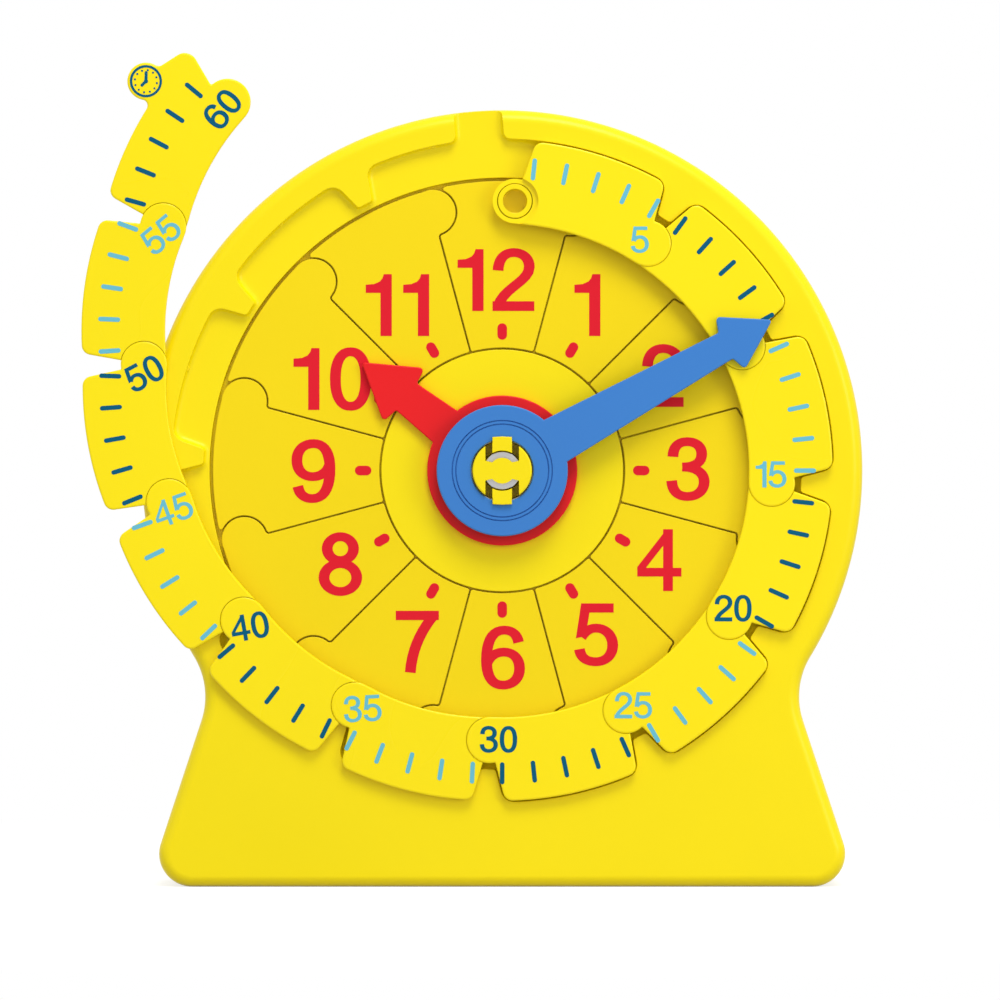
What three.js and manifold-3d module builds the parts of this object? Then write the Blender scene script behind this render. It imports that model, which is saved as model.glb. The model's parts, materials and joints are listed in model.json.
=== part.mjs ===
// Geared teaching clock with lift-out hour pieces, a hinged number line and two geared hands.
// Millimetres, +Z up. The dial faces -Y and the origin is the middle of the foot's underside.

import * as THREE from 'three';
import { mergeVertices } from 'three/addons/utils/BufferGeometryUtils.js';
import Module from 'manifold-3d';

const wasm = await Module();
wasm.setup();

// Dial
const dialRadius = 105.2;
const bossRadius = 44;
const pieceThickness = 3;
const seamGap = 1;
const lobeRadius = 8.5;
const lobeCornerShare = 1.3;
const hours = 12;

// Number line: its hinges lie inside the dial's edge, and its links reach inward and outward of them
const hingeInset = 7.2;
const linkInward = 8.4;
const linkOutward = 22;
const linkThickness = 3;
const linkCorner = 3.6;
const lastCorner = 5.2;
const lastLobeRadius = 6.4;
const lastLobeInset = 2.2;
const hingeHoleRadius = 6.5;
const tailWall = 1.6;
const knuckleWall = 1.9;
const lapGap = 0.3;
const badgeRadius = 6.8;
const badgeOutward = 5.7;
const minutesPerLink = 5;

// Rim and its pockets
const rimWidth = 10.2;
const pocketRoom = 1;
const pocketCorner = 5;
const tongueInset = 2.5;
const tongueGap = 0.5;
const badgeNotchGap = 2;

// Body
const footDrop = 20.4;
const footSideInset = 6.2;
const footCorner = 12;
const neckFillet = 28;
const wall = 2.5;
const edgeRound = 4;
const casingDepth = 36;
const coverDepth = 9;
const heelDepth = 14.7;
const toeHeight = 9;
const heelSideInset = 29;
const heelRise = 46;

// Gaps: between resting faces, round running shafts, behind and in front of the hands
const seatGap = 0.3;
const runGap = 0.3;
const handGap = 0.4;
const overrun = 1;

// Number line post
const socketRadius = 4.36;
const socketDepth = 6.6;
const spigotRadius = 5;
const spigotLength = 4;
const pegGap = 0.25;

// Hands
const handThickness = 2.4;
const hourHandLength = 64;
const hourHubRadius = 27.3;
const hourShaftWidths = [14.7, 12.4];
const hourHead = { length: 18.8, notch: 1.3, width: 24.3 };
const minuteHandLength = 111.6;
const minuteHubRadius = 23.8;
const minuteShaftWidths = [17.4, 10.7];
const minuteHead = { length: 16.7, notch: 2.1, width: 21.6 };
const hubBoreGap = 0.5;

// Hand post
const postRadius = 10.8;
const sleeveRadius = 7;
const sleeveBore = 4;
const tabWidth = 7.1;
const tabSlot = 2.55;
const tabHook = 1.6;
const tabHeight = 1.2;
const tabSlotDepth = 10;
const webHalfHeight = 3.6;
const webBossRadius = 4.7;
const webThickness = 3.8;
const webSkin = 1.2;
const postFlangeWidth = 5.2;
const postFlangeThickness = 2;

// Gear train. The module follows from the tube that the pinion stands on.
const minutePinionTeeth = 15;
const minuteWheelTeeth = 45;
const hourPinionTeeth = 12;
const hourWheelTeeth = 48;
const rootDepthShare = 1.25;
const pinionRim = 0.2;
const toothPlay = 0.25;
const tubeWall = 1.2;
const hourTubeWall = 1.8;
const gearThickness = 4;
const minutePinionLength = 5;
const wheelStep = 0.8;
const studRadius = 4;
const studSeatDepth = 1.8;
const plateThickness = 3;
const plateBarWidth = 26;
const plateReach = 14;

// Fasteners
const screwRadius = 1.5;
const bossWall = 2.2;
const screwHeadRadius = 3.2;
const screwHeadHeight = 1.8;
const screwGrip = 11;
const screwTipGap = 1;
const headBossInset = 9.7;
const footBossInset = 25;
const footBossHeight = 17;

// Angles in degrees. Places on the dial run clockwise from twelve.
const fullTurn = 360;
const halfTurn = fullTurn / 2;
const quarterTurn = fullTurn / 4;
const hingeAngle = 2.7;
const linkSideAngle = 17.1;
const linkNeckAngle = 5.5;
const lastEndAngle = 4.9;
const lastEndLean = -15;
const lastLobeAngle = 1.4;
const badgeAngle = -3.9;
const lobeCornerAngle = 35;
const hourHandAngle = 307.6;
const minuteHandAngle = 60.8;
const footLeanAngle = 18.3;
const pressureAngle = 25;
const headBossAngles = [40, 140, 220, 320];
// How far each hinge stands open, from the hinge after the first link on
const restAngles = [0, 0, 0, 0, 0, 3.2, 7, 9.6, 8.3, 11.6, 10.6];

// Facets of round shapes
const outlineSides = 60;
const roundSides = 24;
const hubSides = 36;
const hingeSides = 18;
const smallSides = 8;
const cornerSteps = 3;
const curvedToothLimit = 20;

// Depths along Y from the dial face, rearward positive
const dialFace = 0;
const rimFace = dialFace - pieceThickness;
const linkBack = rimFace - seatGap;
const linkFront = linkBack - linkThickness;
const lapFront = (linkBack + linkFront) / 2 - lapGap / 2;
const lapBack = lapFront + lapGap;
const hourHandBack = dialFace - handGap;
const hourHandFront = hourHandBack - handThickness;
const minuteHubBack = hourHandFront - handGap;
const minuteHandBack = linkFront - handGap;
const minuteHandFront = minuteHandBack - handThickness;
const tabBack = minuteHandFront - seatGap;
const postFront = tabBack - tabHeight;
const casingBack = rimFace + casingDepth;
const coverFront = casingBack + seatGap;
const coverBack = coverFront + coverDepth;
const heelBack = coverBack + heelDepth;
const pieceBack = dialFace + pieceThickness;
const wellFloor = pieceBack + seatGap;
const wellBack = wellFloor + wall;
const hourWheelFront = wellBack + runGap;
const hourWheelBack = hourWheelFront + gearThickness;
const minutePinionFront = hourWheelBack + runGap;
const minutePinionBack = minutePinionFront + minutePinionLength;
const minuteWheelFront = hourWheelBack + wheelStep;
const minuteWheelBack = minuteWheelFront + gearThickness;
const flangeFront = minutePinionBack + runGap;
const flangeBack = flangeFront + postFlangeThickness;
const plateFront = flangeBack + seatGap;
const plateBack = plateFront + plateThickness;

// Radii of the dial, the line round it, the rim round that and the body
const hourPitch = fullTurn / hours;
const wellRadius = dialRadius + seamGap;
const pieceInner = bossRadius + seamGap;
const lobeReach = dialRadius - lobeRadius + seamGap / 2;
const hingeRadius = dialRadius - hingeInset;
const linkInner = hingeRadius - linkInward;
const linkOuter = hingeRadius + linkOutward;
const badgeReach = linkOuter + badgeOutward;
const pinRadius = hingeHoleRadius - runGap;
const pegRadius = socketRadius - pegGap;
const tailRadius = hingeHoleRadius + tailWall;
const knuckleRadius = hingeHoleRadius + knuckleWall;
const pocketOuter = linkOuter + pocketRoom;
const tongueTip = wellRadius + tongueInset;
const headRadius = pocketOuter + rimWidth;
const dialHeight = headRadius + footDrop;
const footHeight = -dialHeight;
const footHalfWidth = headRadius - footSideInset;
const heelHalfWidth = footHalfWidth - heelSideInset;

// Tubes on the hand post, one in the other, and the gears on them
const tabReach = postRadius + tabHook;
const postFlangeRadius = postRadius + postFlangeWidth;
const minuteTubeInner = postRadius + runGap;
const minuteTubeOuter = minuteTubeInner + tubeWall;
const hourTubeInner = minuteTubeOuter + runGap;
const hourTubeOuter = hourTubeInner + hourTubeWall;
const casingBore = hourTubeOuter + runGap;
const gearModule = (minuteTubeOuter + pinionRim) / (minutePinionTeeth / 2 - rootDepthShare);
const gearDistance = gearModule * (minutePinionTeeth + minuteWheelTeeth) / 2;
const minuteWheelTip = gearModule * minuteWheelTeeth / 2 + gearModule;

// Bosses
const bossOuter = screwRadius + runGap + bossWall;
const headBossReach = headRadius - headBossInset;
const footBossX = footHalfWidth - footBossInset;
const plateArm = bossRadius + plateReach;
const plateDrop = Math.max(wellRadius + wall, gearDistance + minuteWheelTip) + bossOuter + runGap;

function turnOf(degrees) {
  return THREE.MathUtils.degToRad(degrees);
}

function polar(radius, angle, centre = new THREE.Vector2()) {
  const along = new THREE.Vector2(Math.sin(turnOf(angle)), Math.cos(turnOf(angle)));
  return along.multiplyScalar(radius).add(centre);
}

function arc(centre, radius, fromAngle, toAngle, steps) {
  const points = [];
  for (let i = 0; i <= steps; i += 1) {
    points.push(polar(radius, fromAngle + (toAngle - fromAngle) * i / steps, centre));
  }
  return points;
}

function circle(radius, sides, centre = new THREE.Vector2()) {
  return arc(centre, radius, 0, fullTurn, sides).slice(1);
}

function rectangle(left, right, bottom, top) {
  return [[left, bottom], [right, bottom], [right, top], [left, top]]
    .map(([x, y]) => new THREE.Vector2(x, y));
}

// A closed geometry as a solid that can be joined and cut
function solidOf(geometry) {
  geometry.deleteAttribute('normal');
  geometry.deleteAttribute('uv');
  const merged = mergeVertices(geometry);
  const corners = merged.index.array;
  const triangles = [];
  for (let i = 0; i < corners.length; i += 3) {
    const [a, b, c] = corners.slice(i, i + 3);
    if (a !== b && b !== c && c !== a) {
      triangles.push(a, b, c);
    }
  }
  const vertProperties = new Float32Array(merged.attributes.position.array);
  const triVerts = new Uint32Array(triangles);
  return new wasm.Manifold(new wasm.Mesh({ numProp: 3, vertProperties, triVerts }));
}

// A plan seen from the front, filled from one depth to another
function slab(points, front, back) {
  const geometry = new THREE.ExtrudeGeometry(new THREE.Shape(points), {
    depth: back - front, bevelEnabled: false, steps: 1,
  });
  geometry.rotateX(Math.PI / 2);
  geometry.translate(0, back, 0);
  return solidOf(geometry);
}

// The same with both outer edges rounded
function roundedSlab(points, front, back, round) {
  const geometry = new THREE.ExtrudeGeometry(new THREE.Shape(points), {
    depth: back - front - 2 * round,
    bevelThickness: round, bevelSize: round, bevelOffset: -round, bevelSegments: 2, steps: 1,
  });
  geometry.rotateX(Math.PI / 2);
  geometry.translate(0, back - round, 0);
  return solidOf(geometry);
}

// A profile of [radius, depth] points turned about the hands' axis
function turned(profile, sides) {
  const points = profile.map(([radius, depth]) => new THREE.Vector2(radius, depth));
  return solidOf(new THREE.LatheGeometry(points, sides));
}

function tube(inner, outer, front, back, sides) {
  return turned([[inner, front], [outer, front], [outer, back], [inner, back], [inner, front]], sides);
}

function rod(radius, front, back, sides) {
  return turned([[0, front], [radius, front], [radius, back], [0, back]], sides);
}

function movedTo(solid, place) {
  return solid.translate([place.x, 0, place.y]);
}

// The body's outline, or a line parallel to it and inset by a wall
function bodyOutline(inset) {
  const corner = new THREE.Vector2(footHalfWidth - footCorner, footHeight + footCorner);
  const sideNormal = polar(1, quarterTurn - footLeanAngle);
  const sideUp = polar(1, -footLeanAngle);
  const onOffset = corner.clone().addScaledVector(sideNormal, footCorner + neckFillet);
  const reach = headRadius + neckFillet;
  const along = onOffset.dot(sideUp);
  const climb = -along - Math.sqrt(along ** 2 - onOffset.lengthSq() + reach ** 2);
  const neck = onOffset.clone().addScaledVector(sideUp, climb);
  const neckAngle = THREE.MathUtils.radToDeg(Math.atan2(neck.x, neck.y));
  const headSteps = Math.round(outlineSides * neckAngle / fullTurn);
  const right = [
    ...arc(corner, footCorner - inset, halfTurn, quarterTurn - footLeanAngle, cornerSteps),
    ...arc(neck, neckFillet + inset, -quarterTurn - footLeanAngle, neckAngle - halfTurn, 2 * cornerSteps),
    ...arc(new THREE.Vector2(), headRadius - inset, neckAngle, 0, headSteps).slice(1),
  ];
  const left = right.slice(0, -1).reverse().map((point) => new THREE.Vector2(-point.x, point.y));
  return [...right, ...left];
}

// How far round the ring a sector's round corner reaches from its end, and how far that end spreads inward
function sectorEnd(inner, outer, { lean, corner }) {
  const offset = outer * Math.sin(THREE.MathUtils.degToRad(lean));
  const turn = Math.asin((corner - offset) / (outer - corner));
  const spread = Math.asin(offset / inner);
  return {
    turn: THREE.MathUtils.radToDeg(turn) + lean,
    spread: THREE.MathUtils.radToDeg(spread) - lean,
  };
}

// A sector of a ring with round outer corners. Its ends lean away from the radius, wider inward.
function sector(inner, outer, start, end) {
  const first = sectorEnd(inner, outer, start);
  const last = sectorEnd(inner, outer, end);
  const from = start.angle + first.turn;
  const to = end.angle - last.turn;
  const startSide = start.angle - quarterTurn + start.lean;
  const endSide = end.angle + quarterTurn - end.lean;
  return [
    ...arc(polar(outer - start.corner, from), start.corner, startSide, from, cornerSteps),
    ...arc(new THREE.Vector2(), outer, from, to, 2 * cornerSteps).slice(1, -1),
    ...arc(polar(outer - end.corner, to), end.corner, to, endSide, cornerSteps),
    ...arc(new THREE.Vector2(), inner, end.angle + last.spread, start.angle - first.spread, 2 * cornerSteps),
  ];
}

// The ends of a sector between two hinges, on lines that pass each hinge with a gap
function hingeEnds(outer, gap, corner) {
  const offset = hingeRadius * Math.sin(THREE.MathUtils.degToRad(linkSideAngle)) + gap;
  const lean = THREE.MathUtils.radToDeg(Math.asin(offset / outer));
  const shift = linkSideAngle - lean;
  const start = { angle: hingeAngle + shift, lean, corner };
  const end = { angle: hingeAngle + hourPitch - shift, lean, corner };
  return [start, end];
}

function coverBossPlaces() {
  const head = headBossAngles.map((angle) => polar(headBossReach, angle));
  const foot = [-footBossX, footBossX].map((x) => new THREE.Vector2(x, footHeight + footBossHeight));
  return [...head, ...foot];
}

// The depth of the front face that a boss stands behind
function faceBefore(place) {
  const reach = place.length() - bossOuter;
  if (reach > pocketOuter) {
    return rimFace;
  }
  return reach > wellRadius ? dialFace : wellFloor;
}

function platePlaces() {
  return [[-plateArm, 0], [plateArm, 0], [0, -plateDrop]].map(([x, y]) => new THREE.Vector2(x, y));
}

// The shallow recesses that take the links, joined where the last link leaves no tongue
function rimPockets() {
  const [start, end] = hingeEnds(pocketOuter, tongueGap, pocketCorner);
  const joinedEnd = { angle: hourPitch + start.angle + linkNeckAngle, lean: 0, corner: pocketCorner };
  let pockets = slab(circle(tongueTip, outlineSides), rimFace - overrun, dialFace);
  for (let i = 0; i < hours; i += 1) {
    const plan = sector(tongueTip - overrun, pocketOuter, start, i === hours - 1 ? joinedEnd : end);
    pockets = pockets.add(slab(plan, rimFace - overrun, dialFace).rotate([0, hourPitch * i, 0]));
  }
  return pockets.add(badgeRoom(badgeNotchGap, rimFace - overrun, dialFace));
}

// The space over the rim round the last link's tab, wider than the tab by a margin
function badgeRoom(margin, front, back) {
  const half = badgeRadius + margin;
  const plan = rectangle(-half, half, badgeReach - half, headRadius + overrun);
  return slab(plan, front, back).rotate([0, badgeAngle, 0]);
}

// The hollow behind the front face, which keeps a wall behind the rim, the pockets and the well
function casingHollow() {
  const back = casingBack + overrun;
  const outline = bodyOutline(wall);
  const behindRim = slab(outline, rimFace + wall, back)
    .subtract(slab(circle(pocketOuter + wall, outlineSides), rimFace, dialFace + wall))
    .subtract(badgeRoom(badgeNotchGap + wall, rimFace, dialFace + wall));
  const wellBlock = slab(circle(wellRadius + wall, outlineSides), rimFace, wellBack);
  const behindBoss = slab(circle(bossRadius - wall, roundSides), dialFace + wall, back);
  return behindRim.subtract(wellBlock).add(behindBoss);
}

function frontCasing() {
  const well = slab(circle(wellRadius, outlineSides), rimFace - overrun, wellFloor)
    .subtract(slab(circle(bossRadius, hubSides), dialFace, wellFloor + overrun));
  let casing = roundedSlab(bodyOutline(0), rimFace, casingBack + edgeRound, edgeRound)
    .subtract(slab(bodyOutline(-overrun), casingBack, casingBack + edgeRound + overrun))
    .subtract(rimPockets())
    .subtract(well)
    .subtract(casingHollow());
  const hole = rod(screwRadius + runGap, casingBack - screwGrip, casingBack + overrun, smallSides);
  for (const place of coverBossPlaces()) {
    const boss = rod(bossOuter, faceBefore(place) + wall / 2, casingBack, smallSides);
    casing = casing.add(movedTo(boss, place)).subtract(movedTo(hole, place));
  }
  const plateHole = rod(screwRadius + runGap, wellBack + runGap, plateFront, smallSides);
  for (const place of platePlaces()) {
    const boss = rod(bossOuter, faceBefore(place) + wall / 2, plateFront - seatGap, smallSides);
    casing = casing.add(movedTo(boss, place)).subtract(movedTo(plateHole, place));
  }
  const spigotHole = rod(spigotRadius + seatGap, wellFloor - overrun, wellBack + overrun, roundSides);
  const bore = rod(casingBore, dialFace - overrun, wellBack + overrun, roundSides);
  const studSeat = rod(studRadius + seatGap, wellBack - studSeatDepth, wellBack + overrun, roundSides);
  return casing
    .subtract(movedTo(studSeat, polar(gearDistance, halfTurn)))
    .subtract(movedTo(spigotHole, polar(hingeRadius, hingeAngle)))
    .subtract(bore);
}

// The heel is a wedge behind the cover that makes the foot deep enough to stand
function heelPlan(inset) {
  const bottom = footHeight + inset;
  const points = [
    [coverFront + wall, bottom],
    [heelBack - inset, bottom],
    [heelBack - inset, bottom + toeHeight - inset],
    [coverBack - inset, bottom + heelRise - inset],
    [coverFront + wall, bottom + heelRise - inset],
  ];
  return points.map(([depth, height]) => new THREE.Vector2(depth, height));
}

function heel(inset) {
  const half = heelHalfWidth - inset;
  const geometry = new THREE.ExtrudeGeometry(new THREE.Shape(heelPlan(inset)), {
    depth: 2 * half, bevelEnabled: false, steps: 1,
  });
  geometry.translate(0, 0, -half);
  const across = new THREE.Matrix4().makeBasis(
    new THREE.Vector3(0, 1, 0), new THREE.Vector3(0, 0, 1), new THREE.Vector3(1, 0, 0),
  );
  geometry.applyMatrix4(across);
  return solidOf(geometry);
}

function backCover() {
  const tray = roundedSlab(bodyOutline(0), coverFront - edgeRound, coverBack, edgeRound)
    .subtract(slab(bodyOutline(-overrun), coverFront - edgeRound - overrun, coverFront))
    .add(heel(0))
    .subtract(slab(bodyOutline(wall), coverFront - overrun, coverBack - wall))
    .subtract(heel(wall));
  let cover = tray;
  const hole = rod(screwRadius + runGap, coverFront - overrun, coverBack, smallSides);
  const headDepth = screwHeadHeight + runGap;
  const recess = rod(screwHeadRadius + runGap, coverBack - headDepth, coverBack + overrun, smallSides);
  for (const place of coverBossPlaces()) {
    const boss = rod(bossOuter, coverFront, coverBack - wall / 2, smallSides);
    cover = cover.add(movedTo(boss, place));
    cover = cover.subtract(movedTo(hole, place)).subtract(movedTo(recess, place));
  }
  return cover;
}

// One piece of the dial for twelve o'clock, with its own lobe and a bite for its neighbour's
function hourPiece() {
  const half = seamGap / 2;
  const seam = hourPitch / 2;
  const ownLobe = polar(lobeReach, seam);
  const biteLobe = polar(lobeReach, -seam);
  const ownRadius = lobeRadius - half;
  const biteRadius = lobeRadius + half;
  const innerTurn = THREE.MathUtils.radToDeg(half / pieceInner);
  const ownTurn = THREE.MathUtils.radToDeg(Math.asin(half / ownRadius));
  const biteTurn = THREE.MathUtils.radToDeg(Math.asin(half / biteRadius));
  const cornerWidth = lobeCornerShare * biteRadius * Math.sin(turnOf(lobeCornerAngle));
  const cornerTurn = THREE.MathUtils.radToDeg(cornerWidth / dialRadius);
  const plan = [
    ...arc(new THREE.Vector2(), pieceInner, -seam + innerTurn, seam - innerTurn, cornerSteps),
    ...arc(ownLobe, ownRadius, seam + halfTurn + ownTurn, seam, 2 * cornerSteps),
    ...arc(new THREE.Vector2(), dialRadius, seam - cornerTurn, -seam + cornerTurn, cornerSteps),
    ...arc(biteLobe, biteRadius, lobeCornerAngle - seam, halfTurn - seam - biteTurn, 2 * cornerSteps),
  ];
  return slab(plan, dialFace, pieceBack);
}

// A link in its place after twelve o'clock, moved so that its tail's hinge is at the origin
function numberLink(isLast) {
  const tailHinge = polar(hingeRadius, hingeAngle);
  const pinHinge = polar(hingeRadius, hingeAngle + hourPitch);
  const [start, hingeEnd] = hingeEnds(linkOuter, 0, linkCorner);
  const freeEnd = { angle: hourPitch + lastEndAngle, lean: lastEndLean, corner: lastCorner };
  const outer = sector(hingeRadius, linkOuter, start, isLast ? freeEnd : hingeEnd);
  const top = outer.slice(0, -2 * cornerSteps);
  const innerStart = hingeAngle + linkNeckAngle;
  const innerEnd = hingeAngle + hourPitch - linkNeckAngle;
  const plan = [
    ...(isLast ? top : top.slice(0, -1)),
    pinHinge,
    polar(hingeRadius - knuckleRadius, hingeAngle + hourPitch),
    ...arc(new THREE.Vector2(), linkInner, innerEnd, innerStart, cornerSteps),
    polar(hingeRadius - tailRadius, hingeAngle),
    tailHinge,
  ];
  const knuckle = rod(knuckleRadius, linkFront, lapFront, hingeSides);
  const tail = rod(tailRadius, lapBack, linkBack, hingeSides);
  const knuckleRoom = rod(knuckleRadius + lapGap, linkFront - overrun, lapBack, hingeSides);
  const tailRoom = rod(tailRadius + lapGap, lapFront, linkBack + overrun, hingeSides);
  const hole = rod(hingeHoleRadius, lapFront, linkBack + overrun, hingeSides);
  const pin = rod(isLast ? pegRadius : pinRadius, (linkFront + lapFront) / 2, linkBack, hingeSides);
  let link = slab(plan, linkFront, linkBack);
  if (isLast) {
    const badge = rod(badgeRadius, linkFront, linkBack, hingeSides);
    const lobe = rod(lastLobeRadius, linkFront, linkBack, hingeSides);
    link = link
      .add(movedTo(badge, polar(badgeReach, hourPitch + badgeAngle)))
      .add(movedTo(lobe, polar(linkOuter - lastLobeInset, hourPitch + lastLobeAngle)));
  }
  return link
    .add(movedTo(knuckle, pinHinge))
    .add(movedTo(tail, tailHinge))
    .subtract(movedTo(knuckleRoom, tailHinge))
    .subtract(movedTo(tailRoom, pinHinge))
    .subtract(movedTo(hole, tailHinge))
    .add(movedTo(pin, pinHinge))
    .translate([-tailHinge.x, 0, -tailHinge.y]);
}

// The hollow peg that the number line turns on
function numberLinePost() {
  return turned([
    [0, lapBack + socketDepth],
    [socketRadius, lapBack + socketDepth],
    [socketRadius, lapBack],
    [pinRadius, lapBack],
    [pinRadius, pieceBack],
    [spigotRadius, pieceBack],
    [spigotRadius, pieceBack + spigotLength],
    [0, pieceBack + spigotLength],
  ], hingeSides);
}

// An arrow from the hub towards twelve o'clock
function arrow(hubRadius, widths, head, length) {
  const root = Math.sqrt(hubRadius ** 2 - (widths[0] / 2) ** 2);
  const barb = length - head.length;
  const half = [
    [widths[0] / 2, root],
    [widths[1] / 2, barb - head.notch],
    [head.width / 2, barb],
    [0, length],
  ];
  const right = half.map(([x, y]) => new THREE.Vector2(x, y));
  const left = half.slice(0, -1).reverse().map(([x, y]) => new THREE.Vector2(-x, y));
  return [...right, ...left, new THREE.Vector2()];
}

function hourHand() {
  const hub = tube(casingBore, hourHubRadius, hourHandFront, hourHandBack, hubSides);
  const shaft = slab(arrow(hourHubRadius, hourShaftWidths, hourHead, hourHandLength),
    hourHandFront, hourHandBack);
  return shaft.subtract(rod(hourHubRadius - overrun, hourHandFront - overrun, dialFace, roundSides))
    .add(hub);
}

function minuteHand() {
  const plan = arrow(minuteHubRadius, minuteShaftWidths, minuteHead, minuteHandLength);
  const shaft = slab(plan, minuteHandFront, minuteHandBack);
  const bore = postRadius + hubBoreGap;
  const hub = turned([
    [bore, minuteHandFront],
    [minuteHubRadius, minuteHandFront],
    [minuteHubRadius, minuteHubBack],
    [hourTubeInner, minuteHubBack],
    [hourTubeInner, minuteHandBack],
    [bore, minuteHandBack],
    [bore, minuteHandFront],
  ], hubSides);
  const room = rod(minuteHubRadius - overrun, minuteHandFront - overrun, linkFront, roundSides);
  return shaft.subtract(room).add(hub);
}

// Involute teeth with a tooth standing at the given angle. Large wheels have straight flanks.
function gearPlan(teeth, toothAngle) {
  const pitchRadius = gearModule * teeth / 2;
  const baseAngle = turnOf(pressureAngle);
  const baseRadius = pitchRadius * Math.cos(baseAngle);
  const involute = (angle) => Math.tan(angle) - angle;
  const pitchHalf = (Math.PI * gearModule / 2 - toothPlay) / (2 * pitchRadius);
  const rootRadius = pitchRadius - rootDepthShare * gearModule;
  const halfAt = (radius) => {
    const angle = Math.acos(baseRadius / Math.max(radius, baseRadius));
    return THREE.MathUtils.radToDeg(pitchHalf + involute(baseAngle) - involute(angle));
  };
  const tipRadius = pitchRadius + gearModule;
  const isCurved = teeth < curvedToothLimit;
  const flank = isCurved ? [rootRadius, pitchRadius, tipRadius] : [rootRadius, tipRadius];
  const points = [];
  for (let i = 0; i < teeth; i += 1) {
    const middle = toothAngle + fullTurn * i / teeth;
    flank.forEach((radius) => points.push(polar(radius, middle - halfAt(radius))));
    [...flank].reverse().forEach((radius) => points.push(polar(radius, middle + halfAt(radius))));
  }
  return points;
}

function hourWheel() {
  const gapAngle = halfTurn + halfTurn / hourWheelTeeth;
  return slab(gearPlan(hourWheelTeeth, gapAngle), hourWheelFront, hourWheelBack)
    .add(rod(hourTubeOuter, hourHandFront + seatGap, hourWheelFront + overrun, roundSides))
    .subtract(rod(hourTubeInner, hourHandFront - overrun, hourWheelBack + overrun, roundSides));
}

function minutePinion() {
  return slab(gearPlan(minutePinionTeeth, halfTurn), minutePinionFront, minutePinionBack)
    .add(rod(minuteTubeOuter, minuteHandBack + seatGap, minutePinionFront + overrun, roundSides))
    .subtract(rod(minuteTubeInner, minuteHandBack - overrun, minutePinionBack + overrun, roundSides));
}

function minuteWheel() {
  const gapAngle = halfTurn / minuteWheelTeeth;
  return slab(gearPlan(minuteWheelTeeth, gapAngle), minuteWheelFront, minuteWheelBack)
    .add(slab(gearPlan(hourPinionTeeth, 0), hourWheelFront, minuteWheelFront + wheelStep))
    .subtract(rod(studRadius + runGap, wellBack, minuteWheelBack + overrun, roundSides));
}

function wheelStud() {
  return rod(studRadius, wellBack - studSeatDepth + seatGap, plateBack - seatGap, roundSides);
}

// A cross-shaped plate behind the gears, with a spigot inside the steel sleeve's post
function gearPlate() {
  const half = plateBarWidth / 2;
  const rounded = (x, y) => slab(circle(half, roundSides, new THREE.Vector2(x, y)), plateFront, plateBack);
  let plate = slab(rectangle(-plateArm, plateArm, -half, half), plateFront, plateBack)
    .add(slab(rectangle(-half, half, -plateDrop, 0), plateFront, plateBack))
    .add(rounded(-plateArm, 0))
    .add(rounded(plateArm, 0))
    .add(rounded(0, -plateDrop));
  const hole = rod(screwRadius + runGap, plateFront - overrun, plateBack + overrun, smallSides);
  for (const place of [...platePlaces(), new THREE.Vector2()]) {
    plate = plate.subtract(movedTo(hole, place));
  }
  const studHole = rod(studRadius + seatGap, plateFront - overrun, plateBack + overrun, roundSides);
  return plate.subtract(movedTo(studHole, polar(gearDistance, halfTurn)));
}

// The fixed post: a tube with a web across its front and two tabs that hook over the minute hand
function handPost() {
  const bore = sleeveRadius + runGap;
  const webBack = postFront + webThickness;
  const body = turned([
    [0, postFront],
    [postRadius, postFront],
    [postRadius, flangeFront],
    [postFlangeRadius, flangeFront],
    [postFlangeRadius, flangeBack],
    [bore, flangeBack],
    [bore, webBack],
    [0, webBack],
  ], hubSides);
  const tabHalf = tabWidth / 2;
  const slotEdge = tabHalf + tabSlot;
  const front = postFront - overrun;
  const boss = rod(webBossRadius, front, webBack + overrun, roundSides);
  const window = slab(rectangle(-slotEdge, slotEdge, webHalfHeight, bore), front, webBack + overrun)
    .subtract(slab(rectangle(-tabHalf, tabHalf, bore - overrun, bore + overrun), front, webBack + overrun)
      .subtract(rod(bore, front - overrun, webBack + 2 * overrun, roundSides)))
    .subtract(boss);
  const slot = slab(rectangle(tabHalf, slotEdge, webHalfHeight, tabReach), front, postFront + tabSlotDepth);
  const lip = tube(postRadius - overrun, tabReach, postFront, tabBack, hubSides)
    .intersect(slab(rectangle(-tabHalf, tabHalf, 0, tabReach + overrun), postFront, tabBack));
  let post = body;
  for (const turn of [0, halfTurn]) {
    const across = [0, turn, 0];
    post = post
      .add(lip.rotate(across))
      .subtract(window.rotate(across))
      .subtract(slot.rotate(across))
      .subtract(slot.mirror([1, 0, 0]).rotate(across));
  }
  const pilot = rod(screwRadius + runGap, postFront + webSkin, webBack + overrun, smallSides);
  return post.subtract(pilot);
}

function postSleeve() {
  const front = postFront + webThickness + seatGap;
  return tube(sleeveBore, sleeveRadius, front, plateFront - seatGap, roundSides);
}

// A screw whose head rests at the given depth, with its shank pointing forward
function screw(seat, length) {
  return turned([
    [0, seat - length],
    [screwRadius, seat - length],
    [screwRadius, seat],
    [screwHeadRadius, seat],
    [screwHeadRadius, seat + screwHeadHeight],
    [0, seat + screwHeadHeight],
  ], smallSides);
}

const yellow = new THREE.MeshStandardMaterial({ color: 0xf8e100, roughness: 0.4 });
const linkYellow = new THREE.MeshStandardMaterial({ color: 0xffe614, roughness: 0.4 });
const red = new THREE.MeshStandardMaterial({ color: 0xe8262a, roughness: 0.35 });
const blue = new THREE.MeshStandardMaterial({ color: 0x3e7cc6, roughness: 0.35 });
const gearWhite = new THREE.MeshStandardMaterial({ color: 0xe9e7df, roughness: 0.5 });
const steel = new THREE.MeshStandardMaterial({ color: 0xc9c9cc, roughness: 0.3, metalness: 1 });

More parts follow.
